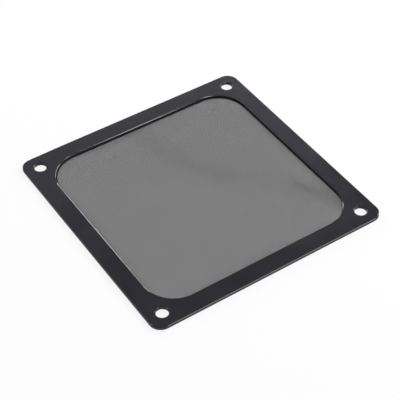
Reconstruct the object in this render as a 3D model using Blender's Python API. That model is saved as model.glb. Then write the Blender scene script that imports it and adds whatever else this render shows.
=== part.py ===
import bmesh
import bpy
from math import cos, hypot, pi, sin

# Driving dimensions, in metres
FRAME_SIDE = 0.120
FRAME_THICKNESS = 0.0016
FRAME_CORNER_RADIUS = 0.0055
BAR_WIDTH = 0.0088
WINDOW_CORNER_RADIUS = 0.0149
HOLE_EDGE_DISTANCE = 0.0075
HOLE_DIAMETER = 0.0057
TOP_FILLET = 0.0003
BACK_CHAMFER = 0.0001
MESH_OVERLAP = 0.003
THREAD_DIAMETER = 0.0001
THREAD_PITCH = 0.0003
MESH_CLEARANCE = 0.0003

# How finely the curves and the mesh's grid are cut
FRAME_CORNER_STEPS = 10
WINDOW_CORNER_STEPS = 18
HOLE_CORNER_STEPS = 8
FILLET_STEPS = 3
GRID_ACROSS = 12

# Places that follow from the dimensions
FRAME_HALF = FRAME_SIDE / 2
WINDOW_HALF = FRAME_HALF - BAR_WIDTH
HOLE_PLACE = FRAME_HALF - HOLE_EDGE_DISTANCE
HOLE_RADIUS = HOLE_DIAMETER / 2
MESH_THICKNESS = 2 * THREAD_DIAMETER
SEAT_OVERLAP = MESH_OVERLAP + MESH_CLEARANCE
SEAT_DEPTH = MESH_THICKNESS + MESH_CLEARANCE


def clear_scene():
    for old in list(bpy.data.objects):
        bpy.data.objects.remove(old, do_unlink=True)


def material(name, colour, roughness):
    made = bpy.data.materials.new(name)
    made.use_nodes = True
    surface = made.node_tree.nodes["Principled BSDF"]
    surface.inputs["Base Color"].default_value = (*colour, 1)
    surface.inputs["Roughness"].default_value = roughness
    surface.inputs["Metallic"].default_value = 0
    return made


def add_object(name, bm, finish):
    bmesh.ops.recalc_face_normals(bm, faces=bm.faces)
    mesh = bpy.data.meshes.new(name)
    bm.to_mesh(mesh)
    bm.free()
    made = bpy.data.objects.new(name, mesh)
    made.data.materials.append(finish)
    bpy.context.collection.objects.link(made)
    return made


# A square of half side `half` with round corners, as points anticlockwise from above
def rounded_square(half, radius, steps):
    points = []
    for quarter in range(4):
        turn = quarter * pi / 2
        corner_x = (half - radius) * (cos(turn) - sin(turn))
        corner_y = (half - radius) * (sin(turn) + cos(turn))
        for step in range(steps + 1):
            angle = turn + step / steps * pi / 2
            points.append((corner_x + radius * cos(angle), corner_y + radius * sin(angle)))
    return points


def circle(radius, steps, centre):
    points = []
    for step in range(4 * steps):
        angle = step / steps * pi / 2
        points.append((centre[0] + radius * cos(angle), centre[1] + radius * sin(angle)))
    return points


def ring(bm, points, height):
    return [bm.verts.new((x, y, height)) for x, y in points]


def skin(bm, rings):
    for lower, upper in zip(rings, rings[1:]):
        for i in range(len(lower)):
            j = (i + 1) % len(lower)
            bm.faces.new((lower[i], lower[j], upper[j], upper[i]))


# The round top edge and the small back edge, as (set-back from the wall, height) from back to top
def edge_section():
    section = [(BACK_CHAMFER, 0), (0, BACK_CHAMFER)]
    for step in range(FILLET_STEPS + 1):
        angle = step / FILLET_STEPS * pi / 2
        set_back = TOP_FILLET * (1 - cos(angle))
        section.append((set_back, FRAME_THICKNESS - TOP_FILLET + TOP_FILLET * sin(angle)))
    return section


def outer_wall(bm):
    rings = []
    for set_back, height in edge_section():
        points = rounded_square(FRAME_HALF - set_back, FRAME_CORNER_RADIUS - set_back, FRAME_CORNER_STEPS)
        rings.append(ring(bm, points, height))
    skin(bm, rings)
    return rings


def hole_wall(bm, centre):
    rings = []
    for set_back, height in edge_section():
        rings.append(ring(bm, circle(HOLE_RADIUS + set_back, HOLE_CORNER_STEPS, centre), height))
    skin(bm, rings)
    return rings


# The window wall stands on the seat that takes the mesh from behind
def window_wall(bm):
    section = [(SEAT_OVERLAP, 0), (SEAT_OVERLAP, SEAT_DEPTH), (0, SEAT_DEPTH)]
    section += [(set_back, height) for set_back, height in edge_section() if height > SEAT_DEPTH]
    rings = []
    for set_back, height in section:
        points = rounded_square(WINDOW_HALF + set_back, WINDOW_CORNER_RADIUS + set_back, WINDOW_CORNER_STEPS)
        rings.append(ring(bm, points, height))
    skin(bm, rings)
    return rings


# A flat face between the outlines, which leaves the window and the holes open
def flat_face(bm, outlines):
    edges = []
    for outline in outlines:
        for i in range(len(outline)):
            edges.append(bm.edges.get((outline[i], outline[(i + 1) % len(outline)])))
    bmesh.ops.triangle_fill(bm, edges=edges, use_beauty=True, use_dissolve=False)


def make_frame():
    bm = bmesh.new()
    walls = [outer_wall(bm), window_wall(bm)]
    for side_x in (-1, 1):
        for side_y in (-1, 1):
            walls.append(hole_wall(bm, (side_x * HOLE_PLACE, side_y * HOLE_PLACE)))
    flat_face(bm, [rings[0] for rings in walls])
    flat_face(bm, [rings[-1] for rings in walls])
    frame = add_object("frame", bm, material("frame_black", (0.022, 0.021, 0.025), 0.42))
    frame.data.shade_smooth()
    frame.data.set_sharp_from_angle(angle=pi / 5)
    return frame


# Is the place inside the window, its round corners included?
def inside_window(x, y):
    corner = WINDOW_HALF - WINDOW_CORNER_RADIUS
    return hypot(max(abs(x) - corner, 0), max(abs(y) - corner, 0)) < WINDOW_CORNER_RADIUS


# A plain grid of square openings stands for the woven mesh, with the same open share as its threads leave
def grid_openings():
    cell = 2 * WINDOW_HALF / GRID_ACROSS
    reach = cell * (1 - THREAD_DIAMETER / THREAD_PITCH) / 2
    openings = []
    for column in range(GRID_ACROSS):
        for row in range(GRID_ACROSS):
            x = (column + 0.5) * cell - WINDOW_HALF
            y = (row + 0.5) * cell - WINDOW_HALF
            if inside_window(abs(x) + reach, abs(y) + reach):
                left, right, near, far = x - reach, x + reach, y - reach, y + reach
                openings.append([(left, near), (right, near), (right, far), (left, far)])
    return openings


def make_filter_mesh():
    bm = bmesh.new()
    half = WINDOW_HALF + MESH_OVERLAP
    radius = WINDOW_CORNER_RADIUS + MESH_OVERLAP
    walls = []
    for points in [rounded_square(half, radius, WINDOW_CORNER_STEPS)] + grid_openings():
        rings = [ring(bm, points, 0), ring(bm, points, MESH_THICKNESS)]
        skin(bm, rings)
        walls.append(rings)
    flat_face(bm, [rings[0] for rings in walls])
    flat_face(bm, [rings[-1] for rings in walls])
    return add_object("filter_mesh", bm, material("mesh_grey", (0.03, 0.03, 0.032), 0.6))


clear_scene()
make_frame()
make_filter_mesh()
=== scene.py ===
from math import cos, pi, radians, sin

import bmesh
import bpy
from mathutils import Matrix, Vector


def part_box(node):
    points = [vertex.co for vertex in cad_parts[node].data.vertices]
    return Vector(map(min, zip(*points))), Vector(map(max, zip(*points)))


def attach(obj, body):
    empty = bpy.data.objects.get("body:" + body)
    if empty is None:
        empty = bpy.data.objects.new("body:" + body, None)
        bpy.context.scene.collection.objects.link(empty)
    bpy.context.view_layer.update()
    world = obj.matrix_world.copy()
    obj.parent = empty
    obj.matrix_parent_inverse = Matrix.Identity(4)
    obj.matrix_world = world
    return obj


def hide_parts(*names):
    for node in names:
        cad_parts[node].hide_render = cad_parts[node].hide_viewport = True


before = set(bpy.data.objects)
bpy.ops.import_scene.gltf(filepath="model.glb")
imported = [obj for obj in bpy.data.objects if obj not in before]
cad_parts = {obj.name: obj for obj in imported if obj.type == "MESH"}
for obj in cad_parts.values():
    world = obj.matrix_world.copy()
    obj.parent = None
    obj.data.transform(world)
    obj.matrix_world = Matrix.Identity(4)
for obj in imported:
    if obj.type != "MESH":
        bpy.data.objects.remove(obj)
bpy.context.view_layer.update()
print("frame loaded:", ", ".join(sorted(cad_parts)))

scene = bpy.context.scene
scene.view_settings.view_transform = "Standard"
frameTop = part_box("frame")[1].z
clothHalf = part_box("filter_mesh")[1].x
window = {"half": 0.0512, "cornerRadius": 0.0149}    # the frame's opening, in metres, as in the CAD


# camera

photoView = {
    "azimuth": -33.631,      # degrees, round the object
    "elevation": 44.921,     # degrees above the floor
    "roll": -0.255,
    "distance": 0.5466,      # from the middle of the front face
    "right": 0.00116,        # how far the aim is off that middle
    "up": -0.00527,
    "lens": 108.17,          # in mm, as is the sensor's width
    "sensor": 36,
}


def addCamera(v):
    az, el, roll = (radians(v[k]) for k in ("azimuth", "elevation", "roll"))
    back = Vector((sin(az) * cos(el), -cos(az) * cos(el), sin(el)))
    level = (-back).cross(Vector((0, 0, 1))).normalized()
    rise = level.cross(-back)
    right = level * cos(roll) + rise * sin(roll)
    up = rise * cos(roll) - level * sin(roll)
    data = bpy.data.cameras.new("photoCamera")
    data.lens = v["lens"]
    data.sensor_width = v["sensor"]
    camera = bpy.data.objects.new("photoCamera", data)
    scene.collection.objects.link(camera)
    place = back * v["distance"] + right * v["right"] + up * v["up"] + Vector((0, 0, frameTop))
    turn = Matrix((right, up, back)).transposed().to_4x4()
    camera.matrix_world = Matrix.Translation(place) @ turn
    scene.camera = camera


addCamera(photoView)
print("camera set")


# studio: pale floor, soft sky and softboxes

studio = {
    "floorSize": 6.0,
    "floorColour": (0.96, 0.96, 0.96),
    "floorWhite": 1.0,           # plain white that the camera and glossy surfaces see in the floor
    "whiteShare": 0.85,          # its share, the rest is the lit floor with the object's shadow
    "sky": 0.22,
    "boxDistance": 1.2,
}
softboxes = {                    # azimuth and elevation in degrees, size in metres
    "right": {"azimuth": 90, "elevation": 32, "size": (0.54, 0.53), "power": 9.4},
    "rightLow": {"azimuth": 84, "elevation": 10, "size": (0.85, 0.42), "power": 7.5},
    "back": {"azimuth": 0, "elevation": 10, "size": (0.63, 0.42), "power": 10.4},
    "backRight": {"azimuth": 26, "elevation": 32, "size": (0.54, 0.53), "power": 0.2},
    "backHigh": {"azimuth": 0, "elevation": 57, "size": (0.52, 0.53), "power": 0.25},
    "left": {"azimuth": -45, "elevation": 57, "size": (0.52, 0.53), "power": 2.0},
    "frontRight": {"azimuth": 151, "elevation": 24, "size": (0.54, 0.42), "power": 3.4},
    # three small ones, which show in the frame's rounded edges
    "highRight": {"azimuth": 58, "elevation": 64, "size": (0.16, 0.14), "power": 0.8},
    "edgeRight": {"azimuth": 44.5, "elevation": 28.8, "size": (0.21, 0.09), "power": 0.75},
    "edgeBack": {"azimuth": 27, "elevation": 29.5, "size": (0.09, 0.09), "power": 0.12},
}


def nodeTree(owner):
    owner.use_nodes = True
    owner.node_tree.nodes.clear()
    return owner.node_tree


def addNode(tree, kind, **values):
    node = tree.nodes.new(kind)
    for key, value in values.items():
        setattr(node, key, value)
    return node


def addSky(s):
    world = bpy.data.worlds.new("studioSky")
    scene.world = world
    tree = nodeTree(world)
    sky = addNode(tree, "ShaderNodeBackground")
    sky.inputs["Strength"].default_value = s["sky"]
    out = addNode(tree, "ShaderNodeOutputWorld")
    tree.links.new(sky.outputs[0], out.inputs["Surface"])


def addFloor(s):
    half = s["floorSize"] / 2
    corners = [(-half, -half, 0), (half, -half, 0), (half, half, 0), (-half, half, 0)]
    data = bpy.data.meshes.new("floor")
    data.from_pydata(corners, [], [(0, 1, 2, 3)])
    floor = bpy.data.objects.new("floor", data)
    scene.collection.objects.link(floor)
    finish = bpy.data.materials.new("floorPaper")
    tree = nodeTree(finish)
    paper = addNode(tree, "ShaderNodeBsdfDiffuse")
    paper.inputs["Color"].default_value = (*s["floorColour"], 1)
    white = addNode(tree, "ShaderNodeEmission")
    white.inputs["Strength"].default_value = s["floorWhite"]
    rays = addNode(tree, "ShaderNodeLightPath")
    seen = rays.outputs["Is Camera Ray"]
    for kind in ("Is Glossy Ray", "Is Transmission Ray"):
        either = addNode(tree, "ShaderNodeMath", operation="MAXIMUM")
        tree.links.new(seen, either.inputs[0])
        tree.links.new(rays.outputs[kind], either.inputs[1])
        seen = either.outputs[0]
    share = addNode(tree, "ShaderNodeMath", operation="MULTIPLY")
    share.inputs[1].default_value = s["whiteShare"]
    blend = addNode(tree, "ShaderNodeMixShader")
    out = addNode(tree, "ShaderNodeOutputMaterial")
    tree.links.new(seen, share.inputs[0])
    tree.links.new(share.outputs[0], blend.inputs["Fac"])
    tree.links.new(paper.outputs[0], blend.inputs[1])
    tree.links.new(white.outputs[0], blend.inputs[2])
    tree.links.new(blend.outputs[0], out.inputs["Surface"])
    data.materials.append(finish)


def addSoftbox(name, box):
    data = bpy.data.lights.new(name, "AREA")
    data.shape = "RECTANGLE"
    data.size, data.size_y = box["size"]
    data.energy = box["power"]
    light = bpy.data.objects.new(name, data)
    scene.collection.objects.link(light)
    az, el = radians(box["azimuth"]), radians(box["elevation"])
    way = Vector((sin(az) * cos(el), cos(az) * cos(el), sin(el)))
    light.location = way * studio["boxDistance"]
    light.rotation_euler = way.to_track_quat("Z", "Y").to_euler()


addSky(studio)
addFloor(studio)
for name, box in softboxes.items():
    addSoftbox(name, box)
print("studio lit")


# frame finish: satin black sheet with shiny rounded edges and dull cut walls

frameFinish = {
    "colour": (0.0065, 0.0052, 0.0125),
    "cutColour": (0.009, 0.009, 0.011),     # the cut walls are a little paler than the face
    "ior": 1.75,
    "roughness": 0.2,
    "roughnessSpread": 0.03,     # up and down, in patches
    "patchSize": 0.02,
    "grain": 0.35,
    "grainSize": 0.00035,
    "grainDepth": 0.00002,
    "grainDetail": 3.0,
    "edgeRoughness": 0.1,        # the cutter leaves the rounded edges smooth and shiny
    "edgeGrain": 0.1,
    "cutRoughness": 0.8,
    "wallNormal": (0.35, 0.05),      # Z of the normal where the wall's finish begins and is full
    "faceNormal": (0.975, 0.995),    # and where the flat face's does
}
noiseReach = (0.3, 0.7)          # a noise mostly lies between these


def noise(tree, where, size, detail=2.0):
    made = addNode(tree, "ShaderNodeTexNoise")
    made.inputs["Scale"].default_value = 1 / size
    made.inputs["Detail"].default_value = detail
    tree.links.new(where, made.inputs["Vector"])
    return made.outputs["Fac"]


def ramp(tree, value, start, stop, low=0.0, high=1.0, **style):
    # low up to start, high from stop on
    made = addNode(tree, "ShaderNodeMapRange", **style)
    for socket, number in (("From Min", start), ("From Max", stop), ("To Min", low), ("To Max", high)):
        made.inputs[socket].default_value = number
    tree.links.new(value, made.inputs["Value"])
    return made.outputs["Result"]


def mixNumber(tree, share, low, high):
    made = addNode(tree, "ShaderNodeMix")
    tree.links.new(share, made.inputs[0])
    for slot, value in ((2, low), (3, high)):     # the slots of A and B for plain numbers
        if isinstance(value, float):
            made.inputs[slot].default_value = value
        else:
            tree.links.new(value, made.inputs[slot])
    return made.outputs[0]


def mixColour(tree, share, low, high):
    made = addNode(tree, "ShaderNodeMix", data_type="RGBA")
    tree.links.new(share, made.inputs["Factor"])
    for socket, colour in (("A", low), ("B", high)):
        found = [i for i in made.inputs if i.name == socket and i.type == "RGBA"][0]
        if isinstance(colour, tuple):
            found.default_value = (*colour, 1)
        else:
            tree.links.new(colour, found)
    return [o for o in made.outputs if o.type == "RGBA"][0]


def startFinish(name):
    finish = bpy.data.materials.new(name)
    tree = nodeTree(finish)
    surface = addNode(tree, "ShaderNodeBsdfPrincipled")
    out = addNode(tree, "ShaderNodeOutputMaterial")
    tree.links.new(surface.outputs[0], out.inputs["Surface"])
    where = addNode(tree, "ShaderNodeTexCoord").outputs["Object"]
    return finish, tree, surface.inputs, where


def patchyColour(tree, where, look):
    # the written colour, drifting to a paler one in soft patches
    paler = tuple(look["paler"] * v for v in look["colour"])
    return mixColour(tree, noise(tree, where, look["patchSize"]), look["colour"], paler)


def makeFrameFinish(f):
    finish, tree, surface, where = startFinish("blackFlexSheet")
    surface["IOR"].default_value = f["ior"]
    facing = addNode(tree, "ShaderNodeNewGeometry").outputs["True Normal"]
    split = addNode(tree, "ShaderNodeSeparateXYZ")
    tree.links.new(facing, split.inputs[0])
    wall = ramp(tree, split.outputs["Z"], *f["wallNormal"])
    face = ramp(tree, split.outputs["Z"], *f["faceNormal"])
    tree.links.new(mixColour(tree, wall, f["colour"], f["cutColour"]), surface["Base Color"])
    least, most = f["roughness"] - f["roughnessSpread"], f["roughness"] + f["roughnessSpread"]
    satin = ramp(tree, noise(tree, where, f["patchSize"]), *noiseReach, least, most)
    rough = mixNumber(tree, face, f["edgeRoughness"], satin)
    tree.links.new(mixNumber(tree, wall, rough, f["cutRoughness"]), surface["Roughness"])
    bump = addNode(tree, "ShaderNodeBump")
    bump.inputs["Distance"].default_value = f["grainDepth"]
    tree.links.new(mixNumber(tree, face, f["edgeGrain"], f["grain"]), bump.inputs["Strength"])
    tree.links.new(noise(tree, where, f["grainSize"], f["grainDetail"]), bump.inputs["Height"])
    tree.links.new(bump.outputs["Normal"], surface["Normal"])
    return finish


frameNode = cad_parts["frame"]
frameNode.data.materials.clear()
frameNode.data.materials.append(makeFrameFinish(frameFinish))
print("frame finished")


# filter cloth: two layers of crossing threads, laid by geometry nodes

cloth = {
    "pitch": 0.0003,
    "thread": 0.000159,          # across a thread's corners
    "sides": 4,                  # of a thread's section
    "steps": 34,                 # points along each thread
    "lift": 0.00018,             # the cloth's middle above the floor
    "cornerRadius": 0.0179,
    "hiddenRim": 0.003,          # how far the cloth reaches under the frame
    "colour": (0.022, 0.022, 0.026),
    "paler": 1.25,
    "patchSize": 0.01,
    "roughness": 0.8,
    "shine": 0.15,
    "rimShadeColour": (0.004, 0.004, 0.004),     # painted shade: the threads are darkened near the window's rim, where the frame shades the cloth
    "rimOffset": (0.0004, 0.0001),          # that painted shade isn't quite centred on the window
    "rimWidth": 0.0035,
    "rimShadeSwell": 0.06,             # share by which the threads are thickened there, so the cloth looks shaded beside the frame
    # the ripple's bent line: its start, its two handles and its end
    "ripplePath": [(-0.001, 0.055), (0.0, -0.007), (0.024, 0.011), (0.054, -0.049)],
    "rippleSteps": 32,           # straight runs in that line
    "rippleSide": (1.0, 0.6, 0.0),          # points across the ripple, to its low side
    "rippleHeight": 0.0005,      # how far the cloth steps down across the ripple
    "rippleWidth": 0.0045,
    "rippleRun": 0.026,          # the raised side sinks back over this distance
    "rippleFade": 0.005,         # the ripple dies out over this distance from the frame
    "crowding": 0.036,           # share by which crowded threads look thicker, on the ripple's far half
    "middleCrowding": 0.012,     # on the rest of it
    "endCrowding": 0.053,        # and added at its right end
    "farHalf": (0.014, 0.024),   # X over which the first gives way to the second
    "rightEnd": (0.034, 0.041),  # X over which the last comes in
}


class Weaver:
    # adds nodes to the cloth's tree, and links or sets what feeds them
    def __init__(self, tree):
        self.tree = tree

    def node(self, kind, feeds=(), **values):
        made = addNode(self.tree, kind, **values)
        for slot, feed in dict(feeds).items():
            if isinstance(feed, bpy.types.NodeSocket):
                self.tree.links.new(feed, made.inputs[slot])
            else:
                made.inputs[slot].default_value = feed
        return made

    def maths(self, operation, *feeds):
        return self.node("ShaderNodeMath", dict(enumerate(feeds)), operation=operation).outputs[0]

    def vector(self, operation, *feeds):
        return self.node("ShaderNodeVectorMath", dict(enumerate(feeds)), operation=operation).outputs

    def ramp(self, value, start, stop, low=0.0, high=1.0, **style):
        feeds = {"Value": value, "From Min": start, "From Max": stop, "To Min": low, "To Max": high}
        return self.node("ShaderNodeMapRange", feeds, **style).outputs[0]

    def bell(self, value):
        # 1 at 0, falling to nothing on both sides
        return self.maths("EXPONENT", self.maths("MULTIPLY", self.maths("MULTIPLY", value, value), -1))


def socketKind(value):
    for kind, name in ((int, "Int"), (float, "Float"), (tuple, "Vector")):
        if isinstance(value, kind):
            return "NodeSocket" + name
    return "NodeSocketMaterial"


def threadLayer(w, given, alongX, height):
    # evenly pitched threads, each as long as the cloth's rounded outline lets it be
    halfWidth, corner, pitch = (given[k] for k in ("Half Width", "Corner Radius", "Pitch"))
    across, end = ("Y", (1, 0, 0)) if alongX else ("X", (0, 1, 0))
    each = w.maths("FLOOR", w.maths("DIVIDE", w.maths("SUBTRACT", halfWidth, given["Thread"]), pitch))
    count = w.maths("ADD", w.maths("MULTIPLY", each, 2), 1)
    first = w.maths("MULTIPLY", each, w.maths("MULTIPLY", pitch, -1))
    start = w.node("ShaderNodeCombineXYZ", {across: first}).outputs[0]
    stride = w.node("ShaderNodeCombineXYZ", {across: pitch}).outputs[0]
    line = w.node("GeometryNodeMeshLine", {"Count": count, "Start Location": start, "Offset": stride})
    place = w.node("GeometryNodeInputPosition").outputs[0]
    side = w.node("ShaderNodeSeparateXYZ", {0: place}).outputs[across]
    inner = w.maths("SUBTRACT", halfWidth, corner)
    past = w.maths("MAXIMUM", w.maths("SUBTRACT", w.maths("ABSOLUTE", side), inner), 0)
    left = w.maths("SUBTRACT", w.maths("MULTIPLY", corner, corner), w.maths("MULTIPLY", past, past))
    reach = w.maths("ADD", inner, w.maths("SQRT", w.maths("MAXIMUM", left, 0)))
    ends = {"Start": tuple(-v for v in end), "End": end}
    unit = w.node("GeometryNodeCurvePrimitiveLine", ends).outputs[0]
    unit = w.node("GeometryNodeResampleCurve", {"Curve": unit, "Count": given["Steps"]}).outputs[0]
    size = w.node("ShaderNodeCombineXYZ", {"X": reach, "Y": reach, "Z": 1.0}).outputs[0]
    feeds = {"Points": line.outputs[0], "Instance": unit, "Scale": size}
    laid = w.node("GeometryNodeInstanceOnPoints", feeds).outputs[0]
    laid = w.node("GeometryNodeRealizeInstances", {0: laid}).outputs[0]
    rise = w.node("ShaderNodeCombineXYZ", {"Z": w.maths("ADD", given["Lift"], height)}).outputs[0]
    return w.node("GeometryNodeSetPosition", {"Geometry": laid, "Offset": rise}).outputs[0]


def clothTree(values):
    tree = bpy.data.node_groups.new("filterCloth", "GeometryNodeTree")
    tree.is_modifier = True
    tree.interface.new_socket("Geometry", in_out="OUTPUT", socket_type="NodeSocketGeometry")
    for name, value in values.items():
        tree.interface.new_socket(name, in_out="INPUT", socket_type=socketKind(value))
    w = Weaver(tree)
    given = w.node("NodeGroupInput").outputs

    # distance from the ripple's bent line, negative on the raised side
    bend = w.node("GeometryNodeCurvePrimitiveBezierSegment", {
        "Resolution": given["Ripple Steps"], "Start": given["Path 1"], "Start Handle": given["Path 2"],
        "End Handle": given["Path 3"], "End": given["Path 4"],
    }).outputs[0]
    bend = w.node("GeometryNodeCurveToMesh", {"Curve": bend}).outputs[0]
    place = w.node("GeometryNodeInputPosition").outputs[0]
    flat = w.vector("MULTIPLY", place, (1, 1, 0))[0]
    near = w.node("GeometryNodeProximity", {0: bend, "Sample Position": flat}, target_element="EDGES")
    toward = w.vector("SUBTRACT", flat, near.outputs["Position"])[0]
    side = w.vector("DOT_PRODUCT", toward, given["Ripple Side"])["Value"]
    away = w.maths("MULTIPLY", near.outputs["Distance"], w.maths("SIGN", side))
    steps = w.maths("DIVIDE", away, given["Ripple Width"])

    # the cloth steps down across that line and lies flat near the frame
    down = w.maths("SUBTRACT", 0.5, w.maths("MULTIPLY", w.maths("TANH", steps), 0.5))
    run = w.maths("DIVIDE", w.maths("MINIMUM", away, 0), given["Ripple Run"])
    crest = w.maths("MULTIPLY", down, w.bell(run))
    parts = w.node("ShaderNodeSeparateXYZ", {0: place}).outputs
    most = w.maths("MAXIMUM", w.maths("ABSOLUTE", parts["X"]), w.maths("ABSOLUTE", parts["Y"]))
    room = w.maths("SUBTRACT", w.maths("SUBTRACT", given["Half Width"], most), given["Hidden Rim"])
    calm = w.ramp(room, 0.0, given["Ripple Fade"], interpolation_type="SMOOTHSTEP")
    rise = w.maths("MULTIPLY", w.maths("MULTIPLY", crest, calm), given["Ripple Height"])

    # threads look thicker where they crowd along the ripple, and are thickened at the rim so the cloth looks
    # shaded beside the frame
    begun = w.ramp(parts["X"], given["Far Half Start"], given["Far Half Stop"],
                   given["Crowding"], given["Middle Crowding"])
    ended = w.ramp(parts["X"], given["Right End Start"], given["Right End Stop"], 0.0, given["End Crowding"])
    crowd = w.maths("MULTIPLY", w.bell(steps), w.maths("ADD", begun, ended))
    # thicker threads near the rim stand in for the frame's shade on the cloth
    rim = w.ramp(room, 0.0, given["Rim Width"], given["Rim Shade Swell"], 0.0)
    swell = w.maths("ADD", w.maths("ADD", crowd, rim), 1)

    both = w.node("GeometryNodeJoinGeometry")
    halfThread = w.maths("MULTIPLY", given["Thread"], 0.5)
    tree.links.new(threadLayer(w, given, True, halfThread), both.inputs[0])
    tree.links.new(threadLayer(w, given, False, w.maths("MULTIPLY", halfThread, -1)), both.inputs[0])
    offset = w.node("ShaderNodeCombineXYZ", {"Z": rise}).outputs[0]
    waved = w.node("GeometryNodeSetPosition", {"Geometry": both.outputs[0], "Offset": offset}).outputs[0]
    ring = {"Resolution": given["Sides"], "Radius": halfThread}
    section = w.node("GeometryNodeCurvePrimitiveCircle", ring).outputs[0]
    tubes = w.node("GeometryNodeCurveToMesh", {
        "Curve": waved, "Profile Curve": section, "Scale": swell, "Fill Caps": True,
    }).outputs[0]
    tubes = w.node("GeometryNodeRealizeInstances", {0: tubes}).outputs[0]
    tubes = w.node("GeometryNodeSetMaterial", {"Geometry": tubes, "Material": given["Finish"]}).outputs[0]
    tree.links.new(tubes, w.node("NodeGroupOutput").inputs[0])
    return tree


def rimDistance(tree, where, c):
    # 0 at the window's rim, where the threads get painted shade, and 1 on the unshaded cloth
    straight = window["half"] - window["cornerRadius"]
    spot = where
    for operation, second in (("ADD", (*c["rimOffset"], 0)), ("ABSOLUTE", None),
                              ("SUBTRACT", (straight, straight, 1)), ("MAXIMUM", (0, 0, 0))):
        made = addNode(tree, "ShaderNodeVectorMath", operation=operation)
        tree.links.new(spot, made.inputs[0])
        if second:
            made.inputs[1].default_value = second
        spot = made.outputs[0]
    reach = addNode(tree, "ShaderNodeVectorMath", operation="LENGTH")
    tree.links.new(spot, reach.inputs[0])
    radius = window["cornerRadius"]
    return ramp(tree, reach.outputs["Value"], radius, radius - c["rimWidth"], interpolation_type="SMOOTHSTEP")


def makeThreadFinish(c):
    finish, tree, surface, where = startFinish("darkThread")
    surface["Roughness"].default_value = c["roughness"]
    surface["Specular IOR Level"].default_value = c["shine"]
    unshaded = patchyColour(tree, where, c)
    # painted shade: the threads' colour darkens towards the window's rim
    tree.links.new(mixColour(tree, rimDistance(tree, where, c), c["rimShadeColour"], unshaded), surface["Base Color"])
    return finish


def settled(name, tree, values):
    # runs the tree on an empty mesh and keeps the result as a plain mesh
    holder = bpy.data.objects.new(name + "Holder", bpy.data.meshes.new(name + "Holder"))
    scene.collection.objects.link(holder)
    modifier = holder.modifiers.new(name, "NODES")
    modifier.node_group = tree
    for item in tree.interface.items_tree:
        if item.item_type == "SOCKET" and item.in_out == "INPUT":
            modifier[item.identifier] = values[item.name]
    ready = holder.evaluated_get(bpy.context.evaluated_depsgraph_get())
    data = bpy.data.meshes.new_from_object(ready)
    data.name = name
    made = bpy.data.objects.new(name, data)
    scene.collection.objects.link(made)
    bpy.data.objects.remove(holder)
    return made


def makeCloth(c):
    values = {
        "Half Width": clothHalf, "Corner Radius": c["cornerRadius"], "Hidden Rim": c["hiddenRim"],
        "Pitch": c["pitch"], "Thread": c["thread"], "Sides": c["sides"], "Steps": c["steps"],
        "Lift": c["lift"], "Rim Shade Swell": c["rimShadeSwell"], "Rim Width": c["rimWidth"],
        "Ripple Steps": c["rippleSteps"], "Ripple Side": c["rippleSide"], "Ripple Height": c["rippleHeight"],
        "Ripple Width": c["rippleWidth"], "Ripple Run": c["rippleRun"], "Ripple Fade": c["rippleFade"],
        "Crowding": c["crowding"], "Middle Crowding": c["middleCrowding"], "End Crowding": c["endCrowding"],
        "Far Half Start": c["farHalf"][0], "Far Half Stop": c["farHalf"][1],
        "Right End Start": c["rightEnd"][0], "Right End Stop": c["rightEnd"][1],
        "Finish": makeThreadFinish(c),
    }
    for i, (x, y) in enumerate(c["ripplePath"]):
        values[f"Path {i + 1}"] = (x, y, 0.0)
    made = settled("wovenCloth", clothTree(values), values)
    made.data.shade_smooth()
    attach(made, "root")
    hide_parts("filter_mesh")
    return made


woven = makeCloth(cloth)
print("cloth woven:", len(woven.data.polygons), "faces")


# bond line: the bead of dark adhesive that holds the cloth along the window's edge

bondLine = {
    "offset": (0.0001, -0.0002),     # the bead isn't quite centred on the window
    "clothTop": 0.00035,             # just above the flat cloth's threads
    "seatHeight": 0.00048,           # just under the frame's seat
    "section": [                     # distance in from the window's edge, share of the height above the cloth
        (-0.0020, 0.0), (0.00045, 0.0), (0.00038, 0.35), (0.00012, 0.9), (-0.0001, 1.0), (-0.0020, 1.0),
    ],
    "cornerSteps": 24,
    "colour": (0.005, 0.005, 0.006),
    "paler": 1.6,
    "patchSize": 0.003,
    "roughness": 0.7,
    "shine": 0.15,
}


def roundedSquare(half, radius, steps):
    points = []
    for quarter in range(4):
        turn = quarter * pi / 2
        cornerX = (half - radius) * (cos(turn) - sin(turn))
        cornerY = (half - radius) * (sin(turn) + cos(turn))
        for step in range(steps + 1):
            angle = turn + step / steps * pi / 2
            points.append((cornerX + radius * cos(angle), cornerY + radius * sin(angle)))
    return points


def makeBondFinish(b):
    finish, tree, surface, where = startFinish("darkAdhesive")
    surface["Roughness"].default_value = b["roughness"]
    surface["Specular IOR Level"].default_value = b["shine"]
    tree.links.new(patchyColour(tree, where, b), surface["Base Color"])
    return finish


def makeBondLine(b):
    bm = bmesh.new()
    rings = []
    for inward, share in b["section"]:
        height = b["clothTop"] + share * (b["seatHeight"] - b["clothTop"])
        outline = roundedSquare(window["half"] - inward, window["cornerRadius"] - inward, b["cornerSteps"])
        rings.append([bm.verts.new((x + b["offset"][0], y + b["offset"][1], height)) for x, y in outline])
    for lower, upper in zip(rings, rings[1:] + rings[:1]):
        for i in range(len(lower)):
            j = (i + 1) % len(lower)
            bm.faces.new((lower[i], lower[j], upper[j], upper[i]))
    bmesh.ops.recalc_face_normals(bm, faces=bm.faces)
    data = bpy.data.meshes.new("bondLine")
    bm.to_mesh(data)
    bm.free()
    made = bpy.data.objects.new("bondLine", data)
    scene.collection.objects.link(made)
    data.shade_smooth()
    data.materials.append(makeBondFinish(b))
    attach(made, "root")


makeBondLine(bondLine)
print("bond line laid")
